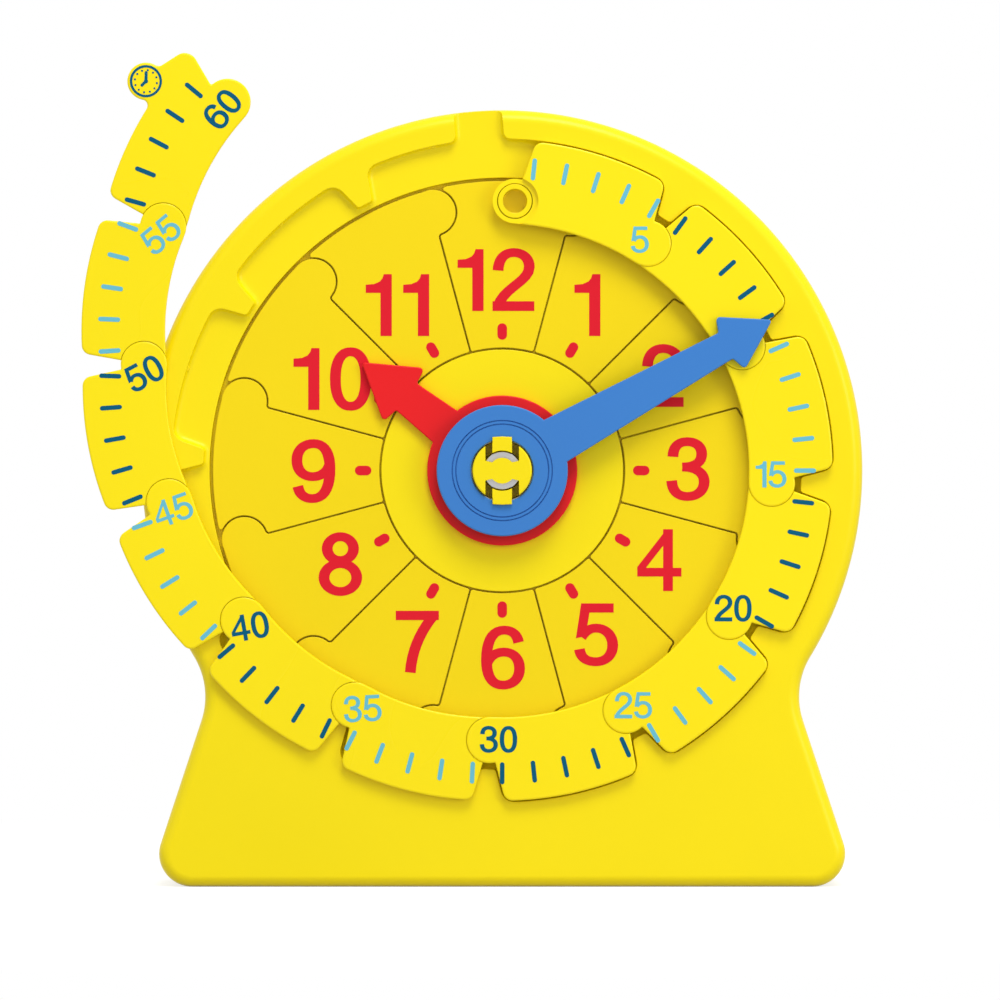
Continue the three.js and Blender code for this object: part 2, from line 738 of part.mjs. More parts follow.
function meshOf(name, solid, material) {
  const { vertProperties, triVerts } = solid.getMesh();
  const geometry = new THREE.BufferGeometry();
  geometry.setAttribute('position', new THREE.BufferAttribute(vertProperties, 3));
  geometry.setIndex(new THREE.BufferAttribute(triVerts, 1));
  geometry.computeVertexNormals();
  const mesh = new THREE.Mesh(geometry, material);
  mesh.name = name;
  return mesh;
}

const clock = new THREE.Group();
const dial = new THREE.Group();
dial.position.set(0, -(rimFace + heelBack) / 2, dialHeight);
clock.add(dial);

function add(name, solid, material) {
  dial.add(meshOf(name, solid, material));
}

add('front_casing', frontCasing(), yellow);
add('back_cover', backCover(), yellow);
add('number_line_post', movedTo(numberLinePost(), polar(hingeRadius, hingeAngle)), yellow);

const postRoom = movedTo(
  rod(pinRadius + runGap, dialFace - overrun, pieceBack + overrun, hingeSides),
  polar(hingeRadius, hingeAngle),
);
for (let hour = 1; hour <= hours; hour += 1) {
  const piece = hourPiece().rotate([0, hourPitch * hour, 0]);
  const name = `hour_piece_${String(hour).padStart(2, '0')}`;
  add(name, hour === hours ? piece.subtract(postRoom) : piece, yellow);
}

// Each link hangs on the one before it, turned on by one hour less its opening
const hingeStep = polar(hingeRadius, hingeAngle + hourPitch).sub(polar(hingeRadius, hingeAngle));
const firstHinge = polar(hingeRadius, hingeAngle);
let carrier = dial;
for (let i = 0; i < hours; i += 1) {
  const group = new THREE.Group();
  const place = i === 0 ? firstHinge : hingeStep;
  const turn = i === 0 ? 0 : hourPitch - restAngles[i - 1];
  group.position.set(place.x, 0, place.y);
  group.rotation.y = turnOf(turn);
  const name = `link_${String(minutesPerLink * (i + 1)).padStart(2, '0')}`;
  group.add(meshOf(name, numberLink(i === hours - 1), linkYellow));
  carrier.add(group);
  carrier = group;
}

add('hour_hand', hourHand().rotate([0, hourHandAngle, 0]), red);
add('minute_hand', minuteHand().rotate([0, minuteHandAngle, 0]), blue);
add('hour_wheel', hourWheel(), gearWhite);
add('minute_pinion', minutePinion(), gearWhite);
add('minute_wheel', movedTo(minuteWheel(), polar(gearDistance, halfTurn)), gearWhite);
add('wheel_stud', movedTo(wheelStud(), polar(gearDistance, halfTurn)), steel);
add('gear_plate', gearPlate(), gearWhite);
add('hand_post', handPost(), yellow);
add('post_sleeve', postSleeve(), steel);

add('post_screw', screw(plateBack + seatGap, plateBack - postFront - webSkin), steel);
platePlaces().forEach((place, i) => {
  const solid = screw(plateBack + seatGap, plateThickness + screwGrip);
  add(`plate_screw_${i + 1}`, movedTo(solid, place), steel);
});
const coverSeat = coverBack - screwHeadHeight;
coverBossPlaces().forEach((place, i) => {
  const solid = screw(coverSeat, coverSeat - casingBack + screwGrip - screwTipGap);
  add(`cover_screw_${i + 1}`, movedTo(solid, place), steel);
});

export default clock;
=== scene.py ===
import json
import math

import bmesh
import bpy
from mathutils import Matrix, Vector
from mathutils.geometry import delaunay_2d_cdt


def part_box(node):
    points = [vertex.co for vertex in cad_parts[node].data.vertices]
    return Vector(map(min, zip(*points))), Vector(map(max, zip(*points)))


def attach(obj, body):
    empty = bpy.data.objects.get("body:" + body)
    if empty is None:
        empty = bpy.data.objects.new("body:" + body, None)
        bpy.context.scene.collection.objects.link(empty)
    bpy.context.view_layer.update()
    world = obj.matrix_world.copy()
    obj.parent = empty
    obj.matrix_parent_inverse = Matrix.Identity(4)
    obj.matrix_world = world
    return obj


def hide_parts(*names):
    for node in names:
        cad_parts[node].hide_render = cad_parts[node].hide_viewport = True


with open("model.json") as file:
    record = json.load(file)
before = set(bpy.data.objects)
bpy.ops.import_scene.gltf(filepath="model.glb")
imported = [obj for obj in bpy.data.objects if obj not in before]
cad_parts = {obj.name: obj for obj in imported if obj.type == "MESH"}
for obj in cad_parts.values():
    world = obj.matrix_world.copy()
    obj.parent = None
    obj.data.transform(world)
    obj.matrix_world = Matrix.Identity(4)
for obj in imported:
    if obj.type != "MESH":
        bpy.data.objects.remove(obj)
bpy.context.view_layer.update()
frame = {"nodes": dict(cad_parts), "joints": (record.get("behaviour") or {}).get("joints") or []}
joints = {joint["name"]: joint for joint in frame["joints"]}
centre = Vector(joints["minute_hand_turn"]["pos_m"])

# Lengths are in millimetres from the middle of the dial's face: x to the right, depth to the rear,
# z up. Places on the dial are a radius and a clock angle in degrees, clockwise from twelve.
MM = 0.001
HOURS = 12
PITCH = 360 / HOURS


def depths(node):
    """Front and back of a CAD node."""
    low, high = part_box(node)
    return (low.y - centre.y) / MM, (high.y - centre.y) / MM


rim_face, casing_back = depths("front_casing")
cover_front, heel_back = depths("back_cover")
dial_face, piece_back = depths("hour_piece_03")
link_front, link_back = depths("link_20")
hour_front, hour_back = depths("hour_hand")
minute_front, minute_back = depths("minute_hand")
post_front, post_back = depths("hand_post")
foot_height = -centre.z / MM

# Body
HEAD = 131.15
FOOT_HALF = 125
FOOT_CORNER = 12
FOOT_LEAN = 18.3
NECK = 28
WALL = 2.5
EDGE = 4.6
PARTING_EDGE = 0.5
COVER_DEPTH = 9
SPIGOT = 5.3
SPIGOT_BACK = 9

# Heel behind the foot: half its width, how deep it starts in the cover, its rise and its edges
HEEL_HALF = 96
HEEL_START = 3
HEEL_RISE = 46
HEEL_TOE = 9
HEEL_SOLE_EDGE = 2.2
HEEL_EDGE = 3
HEEL_SIDE_EDGE = 1.5

# Cover screws and their bosses
SCREW_INSET = 9.7
SCREW_CLOCKS = (40, 140, 220, 320)
SCREW_SIDE = 100
SCREW_RISE = 17
SCREW_BOSS = 5.6
SCREW_SEAT = 3.7
SCREW_SEAT_DEPTH = 2.2
SCREW_WAY = 1.8
SCREW_SHANK = 1.5
SCREW_POINT = 1.0
SCREW_HEAD = 3.2
SCREW_HEAD_DEPTH = 1.8
CROSS_LENGTH = 1.7
CROSS_HALF = 0.35
CROSS_DEPTH = 1.1

# Dial and its pieces: each has a lobe after it and a bite for the lobe before it
WELL = 106.5
BOSS = 44
DIAL = 105.3
PIECE_INNER = 44.7
SEAM = 0.6
LOBE = 8.5
LOBE_REACH = 97.2
LOBE_LIP = 1
BITE_LIP = 3.6
BITE_END = 34
PIECE_CORNERS = (0.8, 0.8, 1.3, 0.7, 0.7, 0.85)
PIECE_EDGE = 0.25
PIECE_BACK_EDGE = 0.3
BORE = 14.7
WELL_GAP = 0.3
WELL_FLARE = 0.25
WELL_FILLET = 0.3
NUMERAL_HEIGHT = 22.5
NUMERAL_WEIGHT = 0.175
DASH_REACH = 50.6
DASH_LENGTH = 6.0
DASH_WIDTH = 3.5

# Pockets in the rim, the tongues between them and a small bead on each pocket's outer wall
POCKET = 120.5
POCKET_CORNER = 5
POCKET_FLARE = 0.3
POCKET_FILLET = 2.5
TONGUE_TIP = 108.7
TONGUE_GAP = 0.5
TONGUE_CORNER = 1.3
NOTCH_CORNERS = (2.6, 3.5, 3.5, 2.6)
BEAD = 1.1
BEAD_REACH = 120.7
BEAD_CLOCK = 18
BEAD_DROP = 1.3
BEAD_SINK = 0.4
BEAD_EDGE = 0.3

# Number line. The ends of a link lie on lines that pass its hinges and lean by SIDE from the radius.
HINGE = 98
HINGE_CLOCK = 2.7
SIDE = 17.1
LINK_INNER = 89.6
LINK_OUTER = 119.95
LINK_CORNER = 3.6
LINK_EDGE = 0.9
LINK_EDGE_DROP = 0.55
LINK_BACK_EDGE = 0.5
TAIL = 8.1
TAIL_BEND = 0.7
KNUCKLE = 8.4
KNUCKLE_BEND = 0.45
HOLE = 6.5
PIN = 6.2
SOCKET = 4.36
SOCKET_DEPTH = 6.6
LINE_POST_FOOT = 5
LINE_POST_FOOT_DEPTH = 4
PEG = 4.11
LAP_GAP = 0.3
ROOM_GAP = 0.12
lap_front = (link_front + link_back - LAP_GAP) / 2
lap_back = lap_front + LAP_GAP

# The last link's badge, its lobe and the neck before its knuckle
BADGE = 6.78
BADGE_REACH = 125.7
BADGE_CLOCK = 26.1
BADGE_NOTCH = 8.8
BADGE_BEND = 2.2
BADGE_END = 122
BADGE_CORNER = 2.0
TIP = 4.65
TIP_SPOT = (118.3, 32.3)
TIP_START = 46
TIP_END = 140
NECK_SPOT = (106.4, 32.9)
NECK_BEND = 0.8

# Minute marks, link numbers and the badge's clock face
MARK_PITCH = 6
MARK_REACH = 109.9
MARK_LENGTH = 8
MARK_WIDTH = 1.65
LABEL_SPOT = (97.6, 30.8)
LABEL_HEIGHT = 9.5
LABEL_GAP = 0.07
LABEL_WEIGHTS = (0.155, 0.17)
FACE_RING = (5.85, 4.95)
FACE_DOT = 0.4
FACE_DOT_REACH = 4.05
FACE_HUB = 0.8
FACE_HANDS = ((82.3, 3.7), (305.3, 2.6))
FACE_HAND_WIDTH = 1.1

# Hands: shaft widths at the hub and at the head, then notch, barb and half width of the head
HOUR_HUB = 27.3
HOUR_SHAFT = (14.7, 12.4)
HOUR_HEAD = (43.9, 45.1, 12.4)
HOUR_REACH = 64.6
HOUR_CLOCK = 307.6
MINUTE_HUB = 23.8
MINUTE_SHAFT = (17.4, 10.7)
MINUTE_HEAD = (92.8, 94.8, 10.9)
MINUTE_REACH = 112.2
MINUTE_CLOCK = 60.8
MINUTE_BORE = 11.3
MINUTE_PIPE = 12.9
BLADE_GAP = 0.4
HAND_EDGE = 0.5
HAND_BACK_EDGE = 0.3
GROOVES = (16.6, 17.9)
GROOVE_WIDTH = 0.5
GROOVE_DEPTH = 0.6

# Hand post, its two tabs and the sleeve
POST = 10.8
POST_FLANGE = 16
POST_FLANGE_DEPTH = 2
POST_WEB = 3.8
TAB = 3.55
TAB_SLOT = 2.55
TAB_SLOT_START = 3.9
TAB_SLOT_DEPTH = 10
TAB_REACH = 12.4
TAB_LIP_DEPTH = 1.2
WINDOW = 4.7
SLEEVE = 7
SLEEVE_BORE = 4
SLEEVE_GAP = 0.3

# A print stands out from its front by this much and reaches into it as far
PRINT = 0.07


def polar(radius, clock, spot=(0, 0)):
    turn = math.radians(clock)
    return spot[0] + radius * math.sin(turn), spot[1] + radius * math.cos(turn)


def arc(spot, radius, start, end, step=2.0):
    count = max(2, round(abs(end - start) / step))
    return [polar(radius, start + (end - start) * i / count, spot) for i in range(count + 1)]


def circle(radius, spot=(0, 0), step=2.0):
    return arc(spot, radius, 0, 360, step)[1:]


def box_face(left, bottom, right, top):
    return [(left, bottom), (right, bottom), (right, top), (left, top)]


def heading(start, end):
    """Clock angle of the way from one point to another."""
    return math.degrees(math.atan2(end[0] - start[0], end[1] - start[1])) % 360


def area(loop):
    return sum(a[0] * b[1] - b[0] * a[1] for a, b in zip(loop, loop[1:] + loop[:1])) / 2


def thinned(loop):
    """The loop without points that lie on the one before."""
    return [point for point, last in zip(loop, loop[-1:] + loop[:-1]) if math.dist(point, last) > 1e-3]


def turned_by(points, clock, pivot=(0, 0), to=(0, 0)):
    """Points turned clockwise about a pivot that then moves to another place."""
    turn = math.radians(clock)
    cos, sin = math.cos(turn), math.sin(turn)
    moved = []
    for x, z in points:
        dx, dz = x - pivot[0], z - pivot[1]
        moved.append((to[0] + dx * cos + dz * sin, to[1] - dx * sin + dz * cos))
    return moved


def grown(loop, reach):
    """The loop moved outward from the material on its left."""
    points = []
    for i, (x, z) in enumerate(loop):
        ax, az = loop[i - 1]
        bx, bz = loop[(i + 1) % len(loop)]
        first = Vector((z - az, ax - x)).normalized()
        second = Vector((bz - z, x - bx)).normalized()
        shift = (first + second) * (reach / max(1 + first.dot(second), 0.5))
        points.append((x + shift.x, z + shift.y))
    return points


def softened(loop, radii, least=18):
    """The loop with its corners rounded, by one radius or by one for each corner in turn."""
    loop = thinned(loop)
    count = len(loop)
    points = [Vector(point) for point in loop]
    corners = []
    for i in range(count):
        before = (points[i] - points[i - 1]).normalized()
        after = (points[(i + 1) % count] - points[i]).normalized()
        turn = math.acos(max(-1, min(1, before.dot(after))))
        if math.degrees(turn) > least:
            corners.append((i, turn))
    sizes = list(radii) if isinstance(radii, (list, tuple)) else [radii] * len(corners)
    if len(sizes) != len(corners):
        raise ValueError(f"{len(corners)} corners for {len(sizes)} radii")

    def walked(start, step, length):
        here, i = points[start], start
        while True:
            i = (i + step) % count
            gap = (points[i] - here).length
            if gap >= length:
                along = (points[i] - here).normalized()
                return here + along * length, along, i
            length -= gap
            here = points[i]

    result = []
    ends = []
    for (i, turn), radius in zip(corners, sizes):
        reach = radius * math.tan(turn / 2)
        back, back_along, last = walked(i, -1, reach)
        front, front_along, first = walked(i, 1, reach)
        pull = radius * math.tan(turn / 4) * 4 / 3
        a, b, c, d = back, back - back_along * pull, front - front_along * pull, front
        steps = max(3, round(math.degrees(turn) / 11))
        bend = []
        for k in range(steps + 1):
            t = k / steps
            s = 1 - t
            bend.append(a * s**3 + b * 3 * s * s * t + c * 3 * s * t * t + d * t**3)
        ends.append((last, first, bend))
    for k, (last, first, bend) in enumerate(ends):
        result += bend
        between = (ends[(k + 1) % len(ends)][0] - first) % count + 1
        if between < count or len(ends) == 1:
            result += [points[(first + i) % count] for i in range(between)]
    return thinned([tuple(point) for point in result])


def wound(loop, forward):
    return loop if (area(loop) > 0) == forward else loop[::-1]


def made(name, verts, faces):
    """An object from points (x, depth, z) in dial millimetres."""
    mesh = bpy.data.meshes.new(name)
    mesh.from_pydata([centre + Vector(vert) * MM for vert in verts], [], faces)
    work = bmesh.new()
    work.from_mesh(mesh)
    bmesh.ops.recalc_face_normals(work, faces=work.faces)
    work.to_mesh(mesh)
    work.free()
    obj = bpy.data.objects.new(name, mesh)
    bpy.context.scene.collection.objects.link(obj)
    return obj


def triangles(points, loops):
    """Faces inside the first loop and outside the others, which run the other way."""
    rings = [loop if i == 0 else loop[::-1] for i, loop in enumerate(loops)]
    found = delaunay_2d_cdt([Vector(point) for point in points], [], rings, 1, 1e-7)
    return [[found[3][vert][0] for vert in face] for face, of in zip(found[2], found[5]) if list(of) == [0]]


def block(name, loops, profile):
    """A solid from outlines, the first the outer one, grown by each step's first number at its depth."""
    loops = [wound(thinned(loop), i == 0) for i, loop in enumerate(loops)]
    verts, faces, starts = [], [], []
    for loop in loops:
        start, size = len(verts), len(loop)
        starts.append((start, size))
        for grow, depth in profile:
            verts += [(x, depth, z) for x, z in grown(loop, grow)]
        for k in range(len(profile) - 1):
            for i in range(size):
                a, b = start + k * size + i, start + k * size + (i + 1) % size
                faces.append((a, a + size, b + size, b))
    for k in (0, len(profile) - 1):
        index, rings = [], []
        for start, size in starts:
            base = len(index)
            index += [start + k * size + i for i in range(size)]
            rings.append([base + i for i in range(size)])
        flat = [(verts[i][0], verts[i][2]) for i in index]
        faces += [[index[i] for i in face][:: 1 if k == 0 else -1] for face in triangles(flat, rings)]
    return made(name, verts, faces)


def plate(front, back, round_front=0.0, round_back=0.0, steps=5, drop=1.0):
    """Profile of a plate with round edges. The front edge drops by a share of its width."""
    profile = []
    for i in range(steps + 1 if round_front else 1):
        turn = math.pi / 2 * i / steps if round_front else math.pi / 2
        depth = front + drop * round_front * (1 - math.cos(turn))
        profile.append((round_front * (math.sin(turn) - 1), depth))
    for i in range(steps + 1 if round_back else 1):
        turn = math.pi / 2 * (1 - i / steps) if round_back else math.pi / 2
        profile.append((round_back * (math.sin(turn) - 1), back - round_back * (1 - math.cos(turn))))
    return profile


def recess(top, floor, flare, fillet, steps=5):
    """Profile of a cutter that leaves a round upper edge and a fillet round its floor."""
    profile = [(flare, top - 1)]
    for i in range(steps + 1):
        turn = math.pi / 2 * i / steps
        profile.append((flare - flare * math.sin(turn), top + flare - flare * math.cos(turn)))
    for i in range(steps + 1):
        turn = math.pi / 2 * i / steps
        profile.append((fillet * (math.cos(turn) - 1), floor - fillet + fillet * math.sin(turn)))
    return profile


def eased(corners):
    """A closed outline from corners (x, y, radius)."""
    points = []
    for i, (x, y, radius) in enumerate(corners):
        here = Vector((x, y))
        if not radius:
            points.append((x, y))
            continue
        before = (Vector(corners[i - 1][:2]) - here).normalized()
        after = (Vector(corners[(i + 1) % len(corners)][:2]) - here).normalized()
        half = before.angle(after) / 2
        hub = here + (before + after).normalized() * (radius / math.sin(half))
        start = here + before * (radius / math.tan(half)) - hub
        turn = math.pi - 2 * half
        side = 1 if before.x * after.y - before.y * after.x < 0 else -1
        steps = max(2, round(math.degrees(turn) / 15))
        for k in range(steps + 1):
            step = start.copy()
            step.rotate(Matrix.Rotation(side * turn * k / steps, 2))
            points.append(tuple(hub + step))
    return points


def lathed(name, corners, spot=(0, 0), sides=96):
    """A closed profile of corners (radius, depth, rounding) turned about an axis through the spot."""
    profile = eased(corners)
    verts, faces, rows = [], [], []
    for radius, depth in profile:
        if radius < 1e-6:
            rows.append([len(verts)] * sides)
            verts.append((spot[0], depth, spot[1]))
            continue
        rows.append([len(verts) + i for i in range(sides)])
        for i in range(sides):
            x, z = polar(radius, 360 * i / sides, spot)
            verts.append((x, depth, z))
    for here, after in zip(rows, rows[1:] + rows[:1]):
        for i in range(sides):
            j = (i + 1) % sides
            face = []
            for vert in (here[i], after[i], after[j], here[j]):
                if vert not in face:
                    face.append(vert)
            if len(face) > 2:
                faces.append(face)
    return made(name, verts, faces)


def rod(name, radius, front, back, spot=(0, 0), sides=96, soft=0.0):
    corners = [(0, front, 0), (radius, front, soft), (radius, back, soft), (0, back, 0)]
    return lathed(name, corners, spot, sides)


def carved(target, *tools):
    """The target after each (tool, mode) in turn."""
    for tool, mode in tools:
        change = target.modifiers.new("change", "BOOLEAN")
        change.operation = mode
        change.solver = "MANIFOLD"
        change.object = tool
    graph = bpy.context.evaluated_depsgraph_get()
    mesh = bpy.data.meshes.new_from_object(target.evaluated_get(graph))
    target.modifiers.clear()
    target.data = mesh
    for tool, _ in tools:
        bpy.data.objects.remove(tool)
    return target


def shaded(obj, angle=38):
    """Joins flat faces and shades the rest smoothly up to that edge angle."""
    work = bmesh.new()
    work.from_mesh(obj.data)
    bmesh.ops.remove_doubles(work, verts=work.verts, dist=2e-7)
    bmesh.ops.dissolve_degenerate(work, dist=2e-7, edges=work.edges)
    bmesh.ops.dissolve_limit(work, angle_limit=math.radians(0.2), verts=work.verts, edges=work.edges)
    work.to_mesh(obj.data)
    work.free()
    obj.data.shade_smooth()
    obj.data.set_sharp_from_angle(angle=math.radians(angle))
    weights = obj.modifiers.new("weights", "WEIGHTED_NORMAL")
    weights.keep_sharp = True
    return obj


def finished(obj, material, body, *nodes, slot=None):
    """Gives a piece its material and body, and hides its CAD nodes. The slot is not used."""
    obj.data.materials.clear()
    obj.data.materials.append(material)
    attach(obj, body)
    if nodes:
        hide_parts(*nodes)
    return obj


# Materials

def colour(code):
    parts = [int(code[i:i + 2], 16) / 255 for i in (0, 2, 4)]
    return [part / 12.92 if part <= 0.04045 else ((part + 0.055) / 1.055) ** 2.4 for part in parts] + [1]


def scaled(tint, factor):
    return [min(1, part * factor) for part in tint[:3]] + [1]


def surface(name, tint, rough, spread=0.02, grain=260, bump=0.02, shine=0.22, metal=0.0):
    """Moulded or metal surface with a fine grain and a faint unevenness of tint and gloss."""
    material = bpy.data.materials.new(name)
    material.use_nodes = True
    nodes, links = material.node_tree.nodes, material.node_tree.links
    shader = nodes["Principled BSDF"]
    place = nodes.new("ShaderNodeTexCoord")
    broad = nodes.new("ShaderNodeTexNoise")
    broad.inputs["Scale"].default_value = 9
    broad.inputs["Detail"].default_value = 2
    ramp = nodes.new("ShaderNodeValToRGB")
    ramp.color_ramp.elements[0].position = 0.3
    ramp.color_ramp.elements[1].position = 0.7
    ramp.color_ramp.elements[0].color = scaled(tint, 1 - spread)
    ramp.color_ramp.elements[1].color = scaled(tint, 1 + spread)
    gloss = nodes.new("ShaderNodeMapRange")
    gloss.inputs["To Min"].default_value = rough - 0.04
    gloss.inputs["To Max"].default_value = rough + 0.04
    fine = nodes.new("ShaderNodeTexNoise")
    fine.inputs["Scale"].default_value = grain
    fine.inputs["Detail"].default_value = 3
    dents = nodes.new("ShaderNodeBump")
    dents.inputs["Strength"].default_value = bump
    dents.inputs["Distance"].default_value = 0.0004
    for noise in (broad, fine):
        links.new(place.outputs["Object"], noise.inputs["Vector"])
    links.new(broad.outputs["Fac"], ramp.inputs["Fac"])
    links.new(ramp.outputs["Color"], shader.inputs["Base Color"])
    links.new(broad.outputs["Fac"], gloss.inputs["Value"])
    links.new(gloss.outputs["Result"], shader.inputs["Roughness"])
    links.new(fine.outputs["Fac"], dents.inputs["Height"])
    links.new(dents.outputs["Normal"], shader.inputs["Normal"])
    shader.inputs["Metallic"].default_value = metal
    shader.inputs["Specular IOR Level"].default_value = shine
    return material


casing_yellow = surface("casing_yellow", colour("F3DC04"), 0.33, shine=0.22)
dial_yellow = surface("dial_yellow", colour("EED206"), 0.42, shine=0.2)
line_yellow = surface("line_yellow", colour("F6DF00"), 0.28, shine=0.25)
hand_red = surface("hand_red", colour("E41E22"), 0.36, shine=0.15)
hand_blue = surface("hand_blue", colour("3D7CC6"), 0.36, shine=0.15)
numeral_red = surface("numeral_red", colour("DA1C2C"), 0.5, bump=0.01, shine=0.1)
dark_ink = surface("dark_ink", colour("005878"), 0.5, bump=0.01, shine=0.1)
light_ink = surface("light_ink", colour("66B8CC"), 0.5, bump=0.01, shine=0.15)
gear_white = surface("gear_white", colour("E9E6DC"), 0.5)
steel = surface("steel", colour("C6C6C9"), 0.3, grain=900, bump=0.04, metal=1.0)

# The gear train and the screws inside keep their CAD shapes
inner = {
    "hour_wheel": gear_white, "minute_pinion": gear_white, "minute_wheel": gear_white,
    "gear_plate": gear_white, "wheel_stud": steel, "post_screw": steel,
    "plate_screw_1": steel, "plate_screw_2": steel, "plate_screw_3": steel,
}
for node, material in inner.items():
    mesh = frame["nodes"][node].data
    for i in range(len(mesh.materials)):
        mesh.materials[i] = material


# Casing and cover

def body_outline(inset=0.0):
    corner = Vector((FOOT_HALF - FOOT_CORNER, foot_height + FOOT_CORNER))
    side = Vector(polar(1, 90 - FOOT_LEAN))
    up = Vector(polar(1, -FOOT_LEAN))
    start = corner + side * (FOOT_CORNER + NECK)
    along = start.dot(up)
    climb = -along - math.sqrt(along**2 - start.length_squared + (HEAD + NECK) ** 2)
    neck = start + up * climb
    neck_clock = math.degrees(math.atan2(neck.x, neck.y))
    right = arc(corner, FOOT_CORNER - inset, 180, 90 - FOOT_LEAN, 4)
    right += arc(neck, NECK + inset, -90 - FOOT_LEAN, neck_clock - 180, 2)
    right += arc((0, 0), HEAD - inset, neck_clock, 0, 1)[1:]
    left = [(-x, z) for x, z in right[-2::-1]]
    return right + left


def side_clock(radius, gap=0.0):
    """How far from its hinge's clock angle a link's end lies at that radius."""
    offset = HINGE * math.sin(math.radians(SIDE)) + gap
    return SIDE - math.degrees(math.asin(offset / radius))


def pocket_outline():
    """The edge of the shallow recess with a tongue at each hour but twelve, where a notch opens the rim."""
    far, near = side_clock(POCKET, TONGUE_GAP), side_clock(TONGUE_TIP, TONGUE_GAP)
    points = []
    for i in range(HOURS - 1):
        start = HINGE_CLOCK + PITCH * i
        end = start + PITCH
        points += arc((0, 0), POCKET, start + far, end - far, 1)
        points += arc((0, 0), TONGUE_TIP, end - near, end + near, 0.7)
    notch_clock = BADGE_CLOCK - PITCH + 360
    half = math.degrees(math.asin(BADGE_NOTCH / POCKET))
    points += arc((0, 0), POCKET, HINGE_CLOCK - PITCH + 360 + far, notch_clock - half, 1)
    outside = HEAD + 9
    points += turned_by([(-BADGE_NOTCH, outside), (BADGE_NOTCH, outside)], notch_clock)
    points += arc((0, 0), POCKET, notch_clock + half, HINGE_CLOCK + 360 + far, 1)
    radii = [POCKET_CORNER, TONGUE_CORNER, TONGUE_CORNER, POCKET_CORNER] * (HOURS - 1)
    return softened(points, radii + list(NOTCH_CORNERS), 30)


casing_profile = plate(rim_face, casing_back, EDGE, PARTING_EDGE, 8)
casing = block("casing_shell", [body_outline()], casing_profile)
well_floor = piece_back + WELL_GAP
pockets = block("tool", [pocket_outline()], recess(rim_face, dial_face, POCKET_FLARE, POCKET_FILLET))
well_loops = [circle(WELL, step=1.5), circle(BOSS, step=3)]
well = block("tool", well_loops, recess(dial_face, well_floor, WELL_FLARE, WELL_FILLET))
hollow = block("tool", [body_outline(WALL)], [(0, well_floor + WALL), (0, casing_back + 1)])
bore_tool = rod("tool", BORE, rim_face - 1, casing_back)
spigot = rod("tool", SPIGOT, dial_face, SPIGOT_BACK, polar(HINGE, HINGE_CLOCK), 48)
tools = [(tool, "DIFFERENCE") for tool in (pockets, well, hollow, bore_tool, spigot)]
for i in range(HOURS):
    spot = polar(BEAD_REACH, PITCH * i + BEAD_CLOCK)
    bead = rod("tool", BEAD, rim_face + BEAD_DROP, dial_face + BEAD_SINK, spot, 20, BEAD_EDGE)
    tools.append((bead, "UNION"))
carved(casing, *tools)
finished(shaded(casing), casing_yellow, "clock_body", "front_casing", slot="casing_yellow")

cover_back = cover_front + COVER_DEPTH
cover = block("back_shell", [body_outline()], plate(cover_front, cover_back, PARTING_EDGE, EDGE, 8))

# The heel is drawn from the side, so its x and depth change places
heel_side = eased([
    (cover_front + HEEL_START, foot_height, 0),
    (heel_back, foot_height, HEEL_SOLE_EDGE),
    (heel_back, foot_height + HEEL_TOE, HEEL_EDGE),
    (cover_back, foot_height + HEEL_RISE, HEEL_EDGE),
    (cover_front + HEEL_START, foot_height + HEEL_RISE, 0),
])
heel_profile = plate(-HEEL_HALF, HEEL_HALF, HEEL_SIDE_EDGE, HEEL_SIDE_EDGE)
heel = block("tool", [heel_side], heel_profile)
for vert in heel.data.vertices:
    x, depth, z = (vert.co - centre) / MM
    vert.co = centre + Vector((depth, x, z)) * MM
heel.data.flip_normals()
tools = [(heel, "UNION")]
tray = block("tool", [body_outline(WALL)], [(0, cover_front - 1), (0, cover_back - WALL)])
tools.append((tray, "DIFFERENCE"))
screw_places = [polar(HEAD - SCREW_INSET, clock) for clock in SCREW_CLOCKS]
screw_places += [(x, foot_height + SCREW_RISE) for x in (-SCREW_SIDE, SCREW_SIDE)]
for spot in screw_places:
    tools.append((rod("tool", SCREW_BOSS, cover_front + 0.1, cover_back - 1, spot, 40), "UNION"))
for spot in screw_places:
    seat_floor = cover_back - SCREW_SEAT_DEPTH
    tools.append((rod("tool", SCREW_SEAT, seat_floor, cover_back + 2, spot, 40), "DIFFERENCE"))
    tools.append((rod("tool", SCREW_WAY, cover_front - 1, cover_back, spot, 24), "DIFFERENCE"))
carved(cover, *tools)
finished(shaded(cover), casing_yellow, "clock_body", "back_cover", slot="casing_yellow")

# Cover screws with a cross recess
for i, spot in enumerate(screw_places):
    node = f"cover_screw_{i + 1}"
    front, back = depths(node)
    head = back - SCREW_HEAD_DEPTH
    screw = lathed(node + "_body", [
        (0, front, 0), (SCREW_POINT, front, 0), (SCREW_SHANK, front + SCREW_SHANK, 0),
        (SCREW_SHANK, head, 0), (SCREW_HEAD, head, 0.2), (SCREW_HEAD, back, 0.7), (0, back, 0),
    ], spot, 36)
    cuts = []
    for turn in (20 + 31 * i, 110 + 31 * i):
        arm = box_face(-CROSS_LENGTH, -CROSS_HALF, CROSS_LENGTH, CROSS_HALF)
        profile = [(-0.15, back - CROSS_DEPTH), (0, back + 0.2)]
        cuts.append((block("tool", [turned_by(arm, turn, (0, 0), spot)], profile), "DIFFERENCE"))
    carved(screw, *cuts)
    finished(shaded(screw, 30), steel, "clock_body", node, slot="steel")


# Printed figures, one unit high

def curve(*points, steps=9):
    a, b, c, d = (Vector(point) for point in points)
    return [tuple(a * (1 - t)**3 + b * 3 * t * (1 - t)**2 + c * 3 * t * t * (1 - t) + d * t**3)
            for t in (k / steps for k in range(steps + 1))]


def path(start, *bends):
    points = [start]
    for first, second, end in bends:
        points += curve(points[-1], first, second, end)[1:]
    return points


